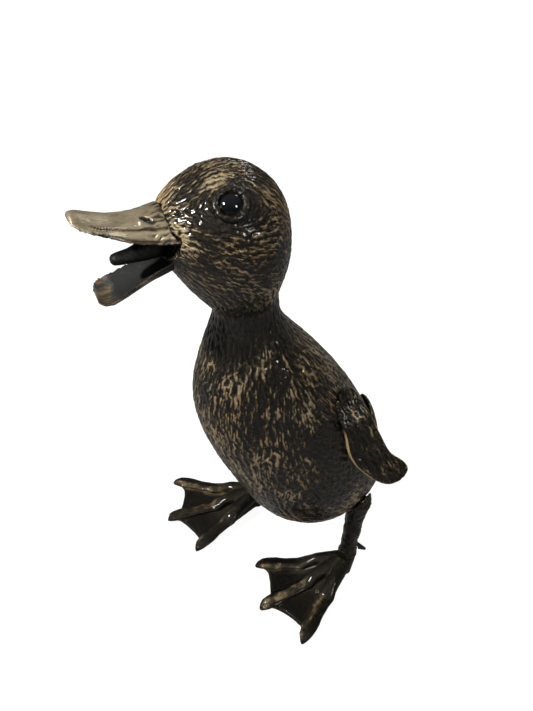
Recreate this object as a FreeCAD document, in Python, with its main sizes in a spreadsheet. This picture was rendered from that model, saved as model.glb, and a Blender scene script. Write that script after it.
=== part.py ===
import FreeCAD, Part
import math
import os

import Sketcher
from FreeCAD import Matrix, Placement, Rotation, Vector

# Duckling figurine in cast brass, standing with its bill open.
# Row frame: millimetres, +Z up, the duckling faces -Y and its left side is +X. The soles stand on Z = 0.
# The hollow body and the hollow head are cast apart and joined by a spigot in the neck. Bill, tongue, eyes,
# wings, tail, legs and feet are cast by themselves and seated on them with tangs and pegs in sockets.

DOC = FreeCAD.newDocument("duckling")

# Driving sizes: lengths in millimetres, angles in degrees and plain counts.
SIZES = (
    ("belly_height", 22.0),
    ("belly_place", 27.5),
    ("body_length", 96.0),
    ("body_width", 53.0),
    ("body_depth", 53.5),
    ("body_lean", 17.0),
    ("shell_wall", 3.0),
    ("fit_gap", 0.15),
    ("overrun", 2.0),
    ("head_height", 45.4),
    ("head_width", 39.5),
    ("head_depth", 43.0),
    ("face_height", 45.4),
    ("face_width", 39.5),
    ("face_depth", 43.0),
    ("bill_roll", 2.0),
    ("face_reach", 14.0),
    ("spigot_radius", 6.5),
    ("spigot_length", 5.0),
    ("bill_length", 30.6),
    ("bill_width", 13.0),
    ("bill_height", 12.5),
    ("bill_pitch", 19.5),
    ("bill_reach", 20.2),
    ("bill_rise", 28.3),
    ("nostril_radius", 0.8),
    ("lower_bill_length", 29.0),
    ("lower_bill_width", 14.5),
    ("lower_bill_depth", 4.0),
    ("lower_bill_wall", 1.5),
    ("lower_bill_drop", 22.0),
    ("lower_bill_reach", 17.3),
    ("lower_bill_rise", 22.6),
    ("tang_radius", 1.6),
    ("tang_length", 6.0),
    ("mouth_width", 23.0),
    ("mouth_reach", 21.5),
    ("mouth_rise", 31.0),
    ("mouth_pitch", -18.0),
    ("mouth_opening", 84.0),
    ("tongue_reach", 20.8),
    ("tongue_rise", 24.3),
    ("tongue_length", 18.8),
    ("tongue_radius", 2.1),
    ("tongue_pitch", -3.0),
    ("eye_radius", 4.3),
    ("eye_turn", 14.5),
    ("eye_lift", 35.7),
    ("eye_roll", 12.0),
    ("eye_sink", 2.9),
    ("stem_radius", 2.4),
    ("stem_length", 3.2),
    ("lid_radius", 0.6),
    ("wing_length", 37.4),
    ("wing_width", 16.0),
    ("wing_thickness", 2.2),
    ("wing_curve", 26.0),
    ("wing_rise", 10.0),
    ("wing_drop", 52.0),
    ("wing_bearing", 60.0),
    ("wing_facing", 18.0),
    ("shoulder_height", 84.0),
    ("left_shoulder_bearing", 30.0),
    ("right_shoulder_bearing", 22.0),
    ("peg_radius", 1.8),
    ("peg_length", 8.0),
    ("tail_length", 20.0),
    ("tail_width", 13.0),
    ("tail_thickness", 7.0),
    ("tail_lift", 97.0),
    ("tail_height", 43.0),
    ("tail_sink", 2.6),
    ("tail_dish", 13.0),
    ("shank_radius", 3.3),
    ("knuckle_radius", 3.7),
    ("thigh_radius", 4.9),
    ("leg_lean", 4.5),
    ("left_leg_slope", -9.0),
    ("right_leg_slope", -18.0),
    ("ankle_height", 9.5),
    ("ankle_radius", 3.6),
    ("stance_width", 42.4),
    ("left_ankle_place", 27.5),
    ("right_ankle_place", 9.5),
    ("toe_length", 35.8),
    ("toe_radius", 2.7),
    ("toe_spread", 32.0),
    ("foot_splay", 7.5),
    ("web_thickness", 2.2),
    ("hind_toe_length", 4.5),
    ("hind_toe_radius", 2.0),
    ("hind_toe_height", 15.0),
    ("hind_toe_drop", 38.0),
)

sheet = DOC.addObject("Spreadsheet::Sheet", "sizes")
for row, (alias, number) in enumerate(SIZES, start=1):
    sheet.set(f"A{row}", alias)
    sheet.set(f"B{row}", str(number))
    sheet.setAlias(f"B{row}", alias)
DOC.recompute()


def size(alias):
    """A driving size, read from the sheet."""
    return float(getattr(sheet, alias))


# Body sections from the neck seam to the belly: place along the axis, half width, and reach to the breast
# and to the back, as shares of the body's length, half width and half depth.
BODY_SHARES = (
    (0.00, 0.42, 0.46, 0.33),
    (0.05, 0.46, 0.58, 0.29),
    (0.14, 0.60, 0.81, 0.36),
    (0.27, 0.80, 1.04, 0.56),
    (0.42, 0.94, 1.11, 0.75),
    (0.58, 1.00, 1.07, 0.88),
    (0.73, 1.00, 0.99, 0.94),
    (0.85, 0.90, 0.88, 0.92),
    (0.93, 0.70, 0.66, 0.79),
    (0.98, 0.42, 0.38, 0.50),
    (1.00, 0.10, 0.10, 0.10),
)

# Head sections from the neck seam to the crown: height, place of the widest line in front of the seam's
# centre, half width, reach to the front and to the back, as shares of the half depth, and the share of the
# body's lean that the section keeps.
HEAD_SHARES = (
    (0.000, 0.000, 0.565, 0.53, 0.42, 1.0),
    (0.065, 0.010, 0.58, 0.55, 0.40, 0.8),
    (0.140, 0.050, 0.69, 0.65, 0.43, 0.5),
    (0.275, 0.120, 0.86, 0.81, 0.56, 0.2),
    (0.425, 0.190, 0.96, 0.96, 0.71, 0.0),
    (0.576, 0.250, 0.99, 1.03, 0.78, 0.0),
    (0.727, 0.280, 0.93, 0.97, 0.76, 0.0),
    (0.845, 0.290, 0.76, 0.79, 0.64, 0.0),
    (0.931, 0.280, 0.53, 0.54, 0.44, 0.0),
    (0.985, 0.270, 0.27, 0.27, 0.22, 0.0),
    (1.000, 0.270, 0.08, 0.08, 0.08, 0.0),
)

# Upper bill sections from the root to the tip: place along the axis, half width, crown over the axis, side
# edge under the axis and palate over the side edge, as shares of the bill's half width and height.
UPPER_BILL_SHARES = (
    (0.00, 2.10, 0.64, -0.22, 0.06),
    (0.12, 1.84, 0.62, -0.09, 0.07),
    (0.24, 1.50, 0.52, 0.07, 0.08),
    (0.38, 1.18, 0.35, 0.19, 0.09),
    (0.52, 0.98, 0.22, 0.22, 0.09),
    (0.66, 0.92, 0.14, 0.19, 0.08),
    (0.82, 0.98, 0.11, 0.14, 0.07),
    (0.92, 0.90, 0.11, 0.11, 0.05),
    (0.98, 0.60, 0.09, 0.08, 0.02),
    (1.00, 0.26, 0.04, 0.05, 0.01),
)

# Lower bill sections: place along the axis, half width, rim over the axis and depth under the axis, as
# shares of its half width and depth.
LOWER_BILL_SHARES = (
    (0.00, 1.60, 1.80, 0.30),
    (0.16, 1.38, 1.50, 0.34),
    (0.34, 1.02, 0.95, 0.44),
    (0.55, 0.86, 0.55, 0.54),
    (0.75, 0.96, 0.48, 0.58),
    (0.88, 1.06, 0.52, 0.52),
    (0.96, 0.88, 0.56, 0.34),
    (1.00, 0.52, 0.56, 0.08),
)

# Tongue sections from the root to the tip: place along the axis, half width, and reach over and under the
# axis, as shares of the tongue's radius.
TONGUE_SHARES = (
    (0.00, 1.20, 2.30, 0.90),
    (0.25, 1.35, 2.60, 0.95),
    (0.45, 1.35, 2.35, 1.00),
    (0.58, 1.25, 1.55, 0.98),
    (0.72, 1.12, 1.00, 0.92),
    (0.88, 0.98, 0.86, 0.84),
    (0.97, 0.74, 0.66, 0.66),
    (1.00, 0.30, 0.26, 0.26),
)


def between(before, start, end, after):
    """The middle of the smooth curve from start to end, whose neighbours are before and after."""
    return tuple((9 * (b + c) - a - d) / 16 for a, b, c, d in zip(before, start, end, after))


def refined(rows):
    """The rows of a table of shares, with one row more in the middle of each two."""
    out = []
    for index in range(len(rows) - 1):
        before = rows[max(0, index - 1)]
        after = rows[min(len(rows) - 1, index + 2)]
        out.append(rows[index])
        out.append(between(before, rows[index], rows[index + 1], after))
    out.append(rows[-1])
    return out


def half_oval(frame, half_width, reach, middle):
    """Half an ellipse in the frame's XY plane, from +X over the reach to -X."""
    arc = Part.Arc(Vector(1, 0, 0), Vector(0, 1, 0), Vector(-1, 0, 0)).toShape()
    scale = Matrix()
    scale.scale(half_width, reach, 1)
    scale.move(Vector(0, middle, 0))
    return arc.transformGeometry(frame.toMatrix().multiply(scale))


def oval_wire(frame, half_width, front, back, middle=0.0):
    """A closed oval of two half ellipses that meet at its widest line, the front one towards -Y."""
    rear = half_oval(frame, half_width, back, middle)
    fore = half_oval(frame, -half_width, -front, middle)
    return Part.Wire([rear, fore])


def loft(wires):
    """A closed solid, ruled from wire to wire."""
    return Part.makeLoft(wires, True, True)


def rod(start, direction, length, radius):
    """A round rod."""
    return Part.makeCylinder(radius, length, start, direction)


def surface_point(solid, start, direction):
    """Where the line from an inner point leaves the solid."""
    reach = solid.BoundBox.DiagonalLength
    line = Part.makeLine(start, start + direction * reach).common(solid)
    return max((vertex.Point for vertex in line.Vertexes), key=lambda point: (point - start).dot(direction))


def largest(shape):
    """The largest solid of a shape that a cut has split."""
    return max(shape.Solids, key=lambda solid: solid.Volume)


PIECES = []


def piece(name, shape, placement=None):
    """A sub-part of its own: a feature that holds a shape worked out from the sheet."""
    made = DOC.addObject("Part::Feature", name)
    made.Label = name
    made.Shape = shape
    made.Placement = placement or Placement()
    PIECES.append(made)
    return made


# Frames of body and head. The body's axis runs from the neck seam down to the belly.
lean = size("body_lean")
axis_turn = Rotation(Vector(1, 0, 0), lean)
belly_pole = Vector(0, size("belly_place"), size("belly_height"))
neck_seam = belly_pole + axis_turn.multVec(Vector(0, 0, size("body_length")))
neck_axis = axis_turn.multVec(Vector(0, 0, 1))
body_half_width = size("body_width") / 2
body_half_depth = size("body_depth") / 2
head_half_width = size("head_width") / 2
head_half_depth = size("head_depth") / 2
wall = size("shell_wall")
gap = size("fit_gap")
overrun = size("overrun")


def body_section(row, inset=0.0):
    """One section of the body, drawn in by the inset."""
    along, width, front, back = row
    length = size("body_length") - 2 * inset
    frame = Placement(neck_seam - neck_axis * (inset + along * length), axis_turn)
    return oval_wire(
        frame,
        width * body_half_width - inset,
        front * body_half_depth - inset,
        back * body_half_depth - inset,
    )


def head_section(row, inset=0.0):
    """One section of the head, drawn in by the inset."""
    up, place, width, front, back, leaning = row
    height = inset + up * (size("head_height") - 2 * inset)
    centre = neck_seam + Vector(0, -place * head_half_depth, height)
    frame = Placement(centre, Rotation(Vector(1, 0, 0), lean * leaning))
    return oval_wire(
        frame,
        width * head_half_width - inset,
        front * head_half_depth - inset,
        back * head_half_depth - inset,
    )


body_skin = loft([body_section(row) for row in refined(BODY_SHARES)])
head_skin = loft([head_section(row) for row in refined(HEAD_SHARES)])
body_hollow = loft([body_section(row, wall) for row in BODY_SHARES if row[1] * body_half_width > 2 * wall])
head_hollow = loft([head_section(row, wall) for row in HEAD_SHARES if row[2] * head_half_width > 2 * wall])
face_block = Part.makeBox(size("head_width"), size("head_depth"), size("head_height"))
face_block.translate(neck_seam - Vector(head_half_width, size("face_reach") + size("head_depth"), 0))
head_hollow = head_hollow.cut(face_block)
head_centre = neck_seam + Vector(0, -0.25 * head_half_depth, 0.576 * size("head_height"))

# Places on the face are given for a face of the named height, width and depth, and go with the head's sizes.
# The bills are rolled a little to the duckling's right, and the eyes more.
face_growth = Vector(
    size("head_width") / size("face_width"),
    size("head_depth") / size("face_depth"),
    size("head_height") / size("face_height"),
)
roll_turn = Rotation(Vector(0, -1, 0), size("bill_roll"))

body_cuts = [body_hollow]
head_cuts = [head_hollow]


def rolled(place, rise):
    """A point in the middle plane of the face, at a place before the neck seam's centre and a rise over it."""
    point = neck_seam + Vector(0, -place * face_growth.y, rise * face_growth.z)
    return head_centre + roll_turn.multVec(point - head_centre)


def socket(cuts, start, direction, length, radius):
    """A rod for one piece, and its hole, wider and deeper by the fit gap, among the cuts of another."""
    cuts.append(rod(start - direction * overrun, direction, length + overrun + gap, radius + gap))
    return rod(start, direction, length, radius)


# Neck spigot: solid, under the head.
spigot = socket(body_cuts, neck_seam, neck_axis * -1, size("spigot_length"), size("spigot_radius"))

# Upper bill: arched sections on an axis that is pitched up, cut off at the face, with a tang in the head.
bill_turn = roll_turn.multiply(Rotation(Vector(1, 0, 0), -size("bill_pitch")))
bill_axis = bill_turn.multVec(Vector(0, -1, 0))
bill_up = bill_turn.multVec(Vector(0, 0, 1))
bill_root = rolled(size("bill_reach"), size("bill_rise"))


def upper_bill_section(row):
    """One arched section of the upper bill."""
    along, width, crown, edge, palate = row
    centre = bill_root + bill_axis * (along * size("bill_length"))
    side = roll_turn.multVec(Vector(width * size("bill_width") / 2, 0, 0))
    low = centre - bill_up * (edge * size("bill_height"))
    top = centre + bill_up * (crown * size("bill_height"))
    under = low + bill_up * (palate * size("bill_height"))
    upper = Part.Arc(low + side, top, low - side).toShape()
    lower = Part.Arc(low - side, under, low + side).toShape()
    return Part.Wire([upper, lower])


def nostrils():
    """The two nostril holes, across the bill's narrow ridge."""
    place = bill_root + bill_axis * (0.44 * size("bill_length")) + bill_up * (0.19 * size("bill_height"))
    across = roll_turn.multVec(Vector(size("bill_width"), 0, 0))
    return rod(place - across, across, 2 * across.Length, size("nostril_radius"))


tang_back = size("tang_length")
upper_bill = loft([upper_bill_section(row) for row in UPPER_BILL_SHARES]).cut(head_skin)
upper_middle = bill_root + bill_up * (0.36 * size("bill_height"))
upper_seat = surface_point(head_skin, upper_middle, bill_axis)
upper_tang = socket(head_cuts, upper_seat, bill_axis * -1, tang_back, size("tang_radius"))
upper_bill = largest(upper_bill).fuse(upper_tang).cut(nostrils())

# Lower bill: a shallow trough on an axis that drops, cut off at the face, with a tang in the chin.
lower_turn = roll_turn.multiply(Rotation(Vector(1, 0, 0), size("lower_bill_drop")))
lower_axis = lower_turn.multVec(Vector(0, -1, 0))
lower_up = lower_turn.multVec(Vector(0, 0, 1))
lower_root = rolled(size("lower_bill_reach"), size("lower_bill_rise"))


def lower_bill_section(row):
    """One section of the lower bill's trough."""
    along, width, rim, depth = row
    centre = lower_root + lower_axis * (along * size("lower_bill_length"))
    side = roll_turn.multVec(Vector(width * size("lower_bill_width") / 2, 0, 0))
    high = centre + lower_up * (rim * size("lower_bill_depth"))
    bottom = centre - lower_up * (depth * size("lower_bill_depth"))
    floor = bottom + lower_up * min(size("lower_bill_wall"), 0.8 * (rim + depth) * size("lower_bill_depth"))
    outer = Part.Arc(high + side, bottom, high - side).toShape()
    inner = Part.Arc(high - side, floor, high + side).toShape()
    return Part.Wire([outer, inner])


lower_bill = loft([lower_bill_section(row) for row in LOWER_BILL_SHARES]).cut(head_skin)
lower_seat = surface_point(head_skin, lower_root, lower_axis)
lower_middle = lower_seat - lower_up * (0.5 * size("lower_bill_depth"))
lower_tang = socket(head_cuts, lower_middle, lower_axis * -1, tang_back, size("tang_radius"))
lower_bill = largest(largest(lower_bill).fuse(lower_tang))

# Mouth: a wedge out of the face between the two bills, its corner inside the cheeks.
mouth_corner = rolled(size("mouth_reach"), size("mouth_rise"))
mouth_depth = size("mouth_reach") + size("overrun")
half_opening = math.radians(size("mouth_opening") / 2)
mouth_half_height = mouth_depth * math.tan(half_opening)
mouth_line = Part.makePolygon([
    Vector(0, 0, 0),
    Vector(0, -mouth_depth, mouth_half_height),
    Vector(0, -mouth_depth, -mouth_half_height),
    Vector(0, 0, 0),
])
mouth = Part.Face(mouth_line).extrude(Vector(size("mouth_width"), 0, 0))
mouth_turn = roll_turn.multiply(Rotation(Vector(1, 0, 0), -size("mouth_pitch")))
mouth_side = mouth_turn.multVec(Vector(size("mouth_width") / 2, 0, 0))
mouth.Placement = Placement(mouth_corner - mouth_side, mouth_turn)
head_cuts.append(mouth)

# Tongue: a finger with a humped root, which is in a socket at the back of the mouth.
tongue_turn = roll_turn.multiply(Rotation(Vector(1, 0, 0), -size("tongue_pitch")))
tongue_axis = tongue_turn.multVec(Vector(0, -1, 0))
tongue_radius = size("tongue_radius")
tongue_root = rolled(size("tongue_reach"), size("tongue_rise"))


def tongue_section(row):
    """One oval section of the tongue."""
    along, width, over, under = row
    centre = tongue_root + tongue_axis * (along * size("tongue_length"))
    side = roll_turn.multVec(Vector(1, 0, 0))
    frame = Placement(centre, Rotation(side, side.cross(tongue_axis), tongue_axis, "ZXY"))
    return oval_wire(frame, width * tongue_radius, under * tongue_radius, over * tongue_radius)


tongue = loft([tongue_section(row) for row in refined(TONGUE_SHARES)])
peg_reach = 0.35 * size("tongue_length")
tongue_seat = tongue_root + tongue_axis * peg_reach
tongue_peg = socket(head_cuts, tongue_seat, tongue_axis * -1, peg_reach, size("tang_radius"))
tongue = largest(tongue.cut([upper_bill, head_skin.cut(mouth)])).fuse(tongue_peg)

# Eyes: glass domes on stems in the head, with a cast lid around each.
eye_radius = size("eye_radius")
stem_radius = size("stem_radius")


def eye_direction(side):
    """The way from the head's centre out through an eye."""
    turn = math.radians(size("eye_turn"))
    lift = math.radians(size("eye_lift"))
    out = Vector(
        side * math.cos(lift) * math.cos(turn) * face_growth.x,
        -math.cos(lift) * math.sin(turn) * face_growth.y,
        math.sin(lift) * face_growth.z,
    )
    out.normalize()
    return Rotation(Vector(0, -1, 0), size("eye_roll")).multVec(out)


def make_eye(name, side):
    """One eye and its lid."""
    out = eye_direction(side)
    seat = surface_point(head_skin, head_centre, out)
    centre = seat - out * size("eye_sink")
    turn = Rotation(Vector(0, 0, 1), out)
    ball = DOC.addObject("Part::Sphere", f"{name}_ball")
    ball.setExpression("Radius", "sizes.eye_radius")
    stem = DOC.addObject("Part::Cylinder", f"{name}_stem")
    stem.setExpression("Radius", "sizes.stem_radius")
    stem.setExpression("Height", "sizes.eye_radius + sizes.stem_length")
    stem.Placement = Placement(out * -(eye_radius + size("stem_length")), turn)
    eye = DOC.addObject("Part::MultiFuse", name)
    eye.Shapes = [ball, stem]
    eye.Placement = Placement(centre, Rotation())
    eye.Label = name
    ring = DOC.addObject("Part::Torus", f"{name}_ring")
    mouth_of_socket = "sqrt((sizes.eye_radius + sizes.fit_gap) ^ 2 - sizes.eye_sink ^ 2)"
    ring.setExpression("Radius1", f"{mouth_of_socket} + sizes.lid_radius")
    ring.setExpression("Radius2", "sizes.lid_radius")
    ring.Placement = Placement(seat - out * (size("lid_radius") / 2), turn)
    lid = DOC.addObject("Part::Cut", f"{name}_lid")
    lid.Base = ring
    lid.Tool = head_feature
    lid.Label = f"{name}_lid"
    head_cuts.append(Part.makeSphere(eye_radius + gap, centre))
    head_cuts.append(rod(centre, out * -1, eye_radius + size("stem_length") + gap, stem_radius + gap))
    return eye, lid


# Wings: an arched leaf each, thinnest at its rim, that stands off the flank, with a peg in the body.
WING_SHARES = (
    (0.00, -0.50),
    (0.05, 0.18),
    (0.31, 0.66),
    (0.42, 0.92),
    (0.58, 1.10),
    (0.77, 1.02),
    (0.95, 0.65),
    (1.00, 0.15),
    (0.98, -0.35),
    (0.90, -0.42),
    (0.74, -0.26),
    (0.58, -0.38),
    (0.42, -0.56),
    (0.16, -0.88),
    (0.03, -0.78),
)


def level(bearing, drop, side):
    """The direction at a bearing from the left towards the back, and dropping, on one side of the duckling."""
    turn = math.radians(bearing)
    fall = math.radians(drop)
    return Vector(side * math.cos(fall) * math.cos(turn), math.cos(fall) * math.sin(turn), -math.sin(fall))


def axis_point(height):
    """The point of the body's axis at a height."""
    return belly_pole + neck_axis * ((height - belly_pole.z) / neck_axis.z)


def make_wing(side, bearing):
    """One wing: its outline, cut from a hollow cylinder that lies along it."""
    seat = surface_point(body_skin, axis_point(size("shoulder_height")), level(bearing, 0, side))
    along = level(size("wing_bearing"), size("wing_drop"), side)
    facing = level(size("wing_facing"), 0, side)
    turn = Rotation(facing, along.cross(facing), along, "ZXY")
    length = size("wing_length")
    half = size("wing_width") / 2
    points = [Vector(0, side * across * half, down * length) for down, across in WING_SHARES]
    outline = Part.BSplineCurve()
    outline.interpolate(Points=points, PeriodicFlag=True)
    curve = size("wing_curve")
    thickness = size("wing_thickness")
    leaf = Part.Face(Part.Wire(outline.toShape())).extrude(Vector(2 * curve, 0, 0))
    leaf.translate(Vector(-curve, 0, 0))
    middle = Vector(-curve, 0, -overrun)
    outer = Part.makeCylinder(curve + thickness, length + 2 * overrun, middle)
    inner = Part.makeCylinder(curve, length + 2 * overrun, middle)
    wing = outer.cut(inner).common(leaf)
    wing.Placement = Placement(seat, turn)
    wing = largest(wing.cut(body_skin))
    inward = turn.multVec(Vector(-1, 0, 0))
    root = seat + along * size("wing_rise")
    start = root + inward * -(thickness / 2)
    peg = socket(body_cuts, start, inward, size("peg_length"), size("peg_radius"))
    return wing.fuse(peg)


# Toe sections from the ankle to the claw: place along the toe, height of the centre as a share of the
# instep's height, and radius.
TOE_SHARES = (
    (0.03, 1.00, 1.10),
    (0.22, 0.84, 1.00),
    (0.38, 0.72, 0.90),
    (0.46, 0.67, 1.06),
    (0.55, 0.61, 0.88),
    (0.68, 0.52, 0.84),
    (0.77, 0.46, 1.00),
    (0.85, 0.42, 0.98),
    (0.92, 0.36, 0.84),
    (0.97, 0.22, 0.50),
    (1.00, 0.10, 0.20),
)


# Tail: a short scoop that turns up from the rump, dished on the side of the back.
TAIL_SHARES = (
    (-0.20, 0.30, 0.40),
    (-0.05, 0.70, 0.75),
    (0.10, 0.90, 0.88),
    (0.34, 1.00, 0.84),
    (0.60, 0.96, 0.66),
    (0.82, 0.78, 0.44),
    (0.95, 0.48, 0.26),
    (1.00, 0.20, 0.12),
)
tail_seat = surface_point(body_skin, axis_point(size("tail_height")), Vector(0, 1, 0))
tail_seat = tail_seat - Vector(0, size("tail_sink"), 0)
tail_turn = Rotation(Vector(1, 0, 0), size("tail_lift") - 90)
tail_axis = tail_turn.multVec(Vector(0, 0, 1))


def tail_section(row):
    """One oval section of the tail."""
    along, width, thickness = row
    frame = Placement(tail_seat + tail_axis * (along * size("tail_length")), tail_turn)
    half = thickness * size("tail_thickness") / 2
    return oval_wire(frame, width * size("tail_width") / 2, half, half)


tail = loft([tail_section(row) for row in TAIL_SHARES]).cut(body_skin)
dish = size("tail_dish")
dish_centre = tail_seat + tail_turn.multVec(Vector(0, -dish, 0.66 * size("tail_length")))
tail = largest(tail.cut(Part.makeSphere(dish, dish_centre)))
tail_tang = socket(body_cuts, tail_seat + Vector(0, size("tail_sink"), 0), Vector(0, -1, 0),
                   size("peg_length"), size("peg_radius"))
tail = largest(tail).fuse(tail_tang)


def make_leg(name, side, place, slope):
    """One leg: a turned shank with knuckles, seated on the foot below and on the body above."""
    ankle = Vector(side * size("stance_width") / 2, place, size("ankle_height"))
    turn = Rotation(Vector(0, 1, 0), -side * size("leg_lean")).multiply(Rotation(Vector(1, 0, 0), slope))
    axis = turn.multVec(Vector(0, 0, 1))
    reach = Part.makeLine(ankle, ankle + axis * size("body_length")).common(body_skin)
    hip = min((vertex.Point for vertex in reach.Vertexes), key=lambda point: (point - ankle).dot(axis))
    length = (hip - ankle).dot(axis)
    sheet.set(f"A{len(SIZES) + 1 + (side < 0)}", f"{name}_length")
    sheet.set(f"B{len(SIZES) + 1 + (side < 0)}", str(length))
    sheet.setAlias(f"B{len(SIZES) + 1 + (side < 0)}", f"{name}_length")
    DOC.recompute()
    body = DOC.addObject("PartDesign::Body", f"{name}_shank")
    sketch = body.newObject("Sketcher::SketchObject", f"{name}_profile")
    plane = next(item for item in body.Origin.OriginFeatures if item.Role == "XZ_Plane")
    sketch.AttachmentSupport = [(plane, "")]
    sketch.MapMode = "FlatFace"
    corners = (
        (None, ("peg_length", -0.5)),
        (("peg_radius", 1.0), ("peg_length", -0.5)),
        (("peg_radius", 1.0), None),
        (("knuckle_radius", 1.0), None),
        (("knuckle_radius", 1.0), (f"{name}_length", 0.10)),
        (("shank_radius", 1.0), (f"{name}_length", 0.24)),
        (("shank_radius", 1.0), (f"{name}_length", 0.42)),
        (("knuckle_radius", 1.0), (f"{name}_length", 0.54)),
        (("shank_radius", 1.05), (f"{name}_length", 0.66)),
        (("shank_radius", 1.15), (f"{name}_length", 0.80)),
        (("thigh_radius", 1.0), (f"{name}_length", 1.05)),
        (("thigh_radius", 0.9), (f"{name}_length", 1.20)),
        (("thigh_radius", 0.5), (f"{name}_length", 1.32)),
        (None, (f"{name}_length", 1.36)),
    )
    places = []
    for across, up in corners:
        x = across[1] * size(across[0]) if across else 0
        z = up[1] * size(up[0]) if up else 0
        places.append(Vector(x, z, 0))
    for start, end in zip(places, places[1:] + places[:1]):
        sketch.addGeometry(Part.LineSegment(start, end), False)
    for index in range(len(places)):
        sketch.addConstraint(Sketcher.Constraint("Coincident", index - 1 if index else len(places) - 1, 2, index, 1))
    for index, (across, up) in enumerate(corners):
        for kind, term, letter, value in (
            ("DistanceX", across, "x", places[index].x),
            ("DistanceY", up, "y", places[index].y),
        ):
            if term:
                sketch.addConstraint(Sketcher.Constraint(kind, -1, 1, index, 1, value))
                made = sketch.ConstraintCount - 1
                sketch.renameConstraint(made, f"{letter}{index}")
                sketch.setExpression(f"Constraints.{letter}{index}", f"sizes.{term[0]} * {term[1]}")
            else:
                axis_line = -2 if letter == "x" else -1
                sketch.addConstraint(Sketcher.Constraint("PointOnObject", index, 1, axis_line))
    turned = body.newObject("PartDesign::Revolution", f"{name}_turned")
    turned.Profile = sketch
    turned.ReferenceAxis = (sketch, ["V_Axis"])
    turned.Angle = 360
    body.Tip = turned
    body.Placement = Placement(ankle, turn)
    DOC.recompute()
    seated = DOC.addObject("Part::Cut", f"{name}_seated")
    seated.Base = body
    seated.Tool = skin_feature
    tang = DOC.addObject("Part::Cylinder", f"{name}_tang")
    tang.setExpression("Radius", "sizes.peg_radius")
    tang.setExpression("Height", "sizes.peg_length")
    tang.Placement = Placement(hip - axis * overrun, turn)
    body_cuts.append(rod(hip - axis * overrun, axis, size("peg_length") + gap, size("peg_radius") + gap))
    leg = DOC.addObject("Part::Fuse", name)
    leg.Base = seated
    leg.Tool = tang
    leg.Label = name
    DOC.recompute()
    return leg, ankle, axis


def make_foot(side, ankle, axis):
    """One webbed foot with its sole on the ground, bored for the leg's spigot."""
    turn = Rotation(Vector(0, 0, 1), side * size("foot_splay"))
    ground = Vector(ankle.x, ankle.y, 0)
    toe = size("toe_length")
    radius = size("toe_radius")
    web = size("web_thickness")
    spread = size("toe_spread")
    instep = 0.8 * size("ankle_height")
    toe_length_shares = (1.0, 1.0, 0.93)
    toes = []
    tips = []
    for index, share in enumerate(toe_length_shares):
        bearing = math.radians(side * spread * (1 - index))
        way = Vector(math.sin(bearing), -math.cos(bearing), 0)
        rings = []
        for along, height, thickness in TOE_SHARES:
            centre = way * (along * share * toe) + Vector(0, 0, height * instep)
            rings.append(Part.Wire(Part.Circle(centre, way, thickness * radius).toShape()))
        toes.append(loft(rings))
        tips.append(way * (toe * share * 0.93))
    heel = Vector(0, 0.45 * size("ankle_radius"), 0)
    edges = []
    for start, end in zip(tips, tips[1:]):
        edges.append(Part.Arc(start, (start + end) * 0.5 * 0.88, end).toShape())
    edges.append(Part.makeLine(tips[2], heel))
    edges.append(Part.makeLine(heel, tips[0]))
    rim = Part.Wire(edges)
    membrane = Part.Face(rim).extrude(Vector(0, 0, web))
    low = rim.copy()
    low.scale(0.86, Vector(0, 0, 0))
    low.translate(Vector(0, 0, 0.6 * web))
    high = rim.copy()
    high.scale(0.16, Vector(0, 0, 0))
    high.translate(Vector(0, 0, instep))
    mound = loft([low, high])
    boss = size("ankle_radius")
    pillar = Part.makeCone(0.5 * boss, boss, size("ankle_height") + boss / 2)
    foot = pillar.fuse([membrane, mound] + toes)
    foot.Placement = Placement(ground, turn)
    ground_box = Part.makeBox(4 * toe, 4 * toe, toe, ground - Vector(2 * toe, 2 * toe, toe))
    above = rod(ankle, axis, 2 * size("ankle_height"), 2 * boss)
    bore = rod(ankle - axis * (size("peg_length") * 0.5 + gap), axis, size("peg_length"), size("peg_radius") + gap)
    return largest(foot.cut([ground_box, above, bore]))


def make_hind_toe(side, ankle, axis, leg):
    """One hind toe, a spur on the back of the shank."""
    start = ankle + axis * ((size("hind_toe_height") - ankle.z) / axis.z)
    drop = math.radians(size("hind_toe_drop"))
    way = Vector(side * math.cos(drop) / 4, math.cos(drop), -math.sin(drop))
    way.normalize()
    radius = size("hind_toe_radius")
    spur = Part.makeCone(radius, 0.25 * radius, size("shank_radius") + size("hind_toe_length"), start, way)
    return largest(spur.cut(leg.Shape))


skin_feature = DOC.addObject("Part::Feature", "body_skin")
skin_feature.Shape = body_skin
head_feature = DOC.addObject("Part::Feature", "head_skin")
head_feature.Shape = head_skin
wings = [
    ("left_wing", make_wing(1, size("left_shoulder_bearing"))),
    ("right_wing", make_wing(-1, size("right_shoulder_bearing"))),
]
legs = []
for name, side in (("left", 1), ("right", -1)):
    leg, ankle, axis = make_leg(f"{name}_leg", side, size(f"{name}_ankle_place"), size(f"{name}_leg_slope"))
    legs.append(leg)
    piece(f"{name}_foot", make_foot(side, ankle, axis))
    piece(f"{name}_hind_toe", make_hind_toe(side, ankle, axis, leg))
for name, side in (("left_eye", 1), ("right_eye", -1)):
    PIECES.extend(make_eye(name, side))
for name, shape in wings:
    piece(name, shape)
piece("tail", tail)
piece("upper_bill", upper_bill)
piece("lower_bill", lower_bill)
piece("tongue", tongue)
piece("body_shell", body_skin.cut(body_cuts))
piece("head_shell", largest(head_skin.fuse(spigot).cut(head_cuts)))
PIECES.extend(legs)
DOC.recompute()

# The origin is the middle of the box round the whole figure, on the ground.
whole = FreeCAD.BoundBox()
for made in PIECES:
    whole.add(made.Shape.optimalBoundingBox(False, False))
centring = Placement(Vector(-whole.Center.x, -whole.Center.y, 0), Rotation())
for made in PIECES:
    made.Placement = centring.multiply(made.Placement)
DOC.recompute()

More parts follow.
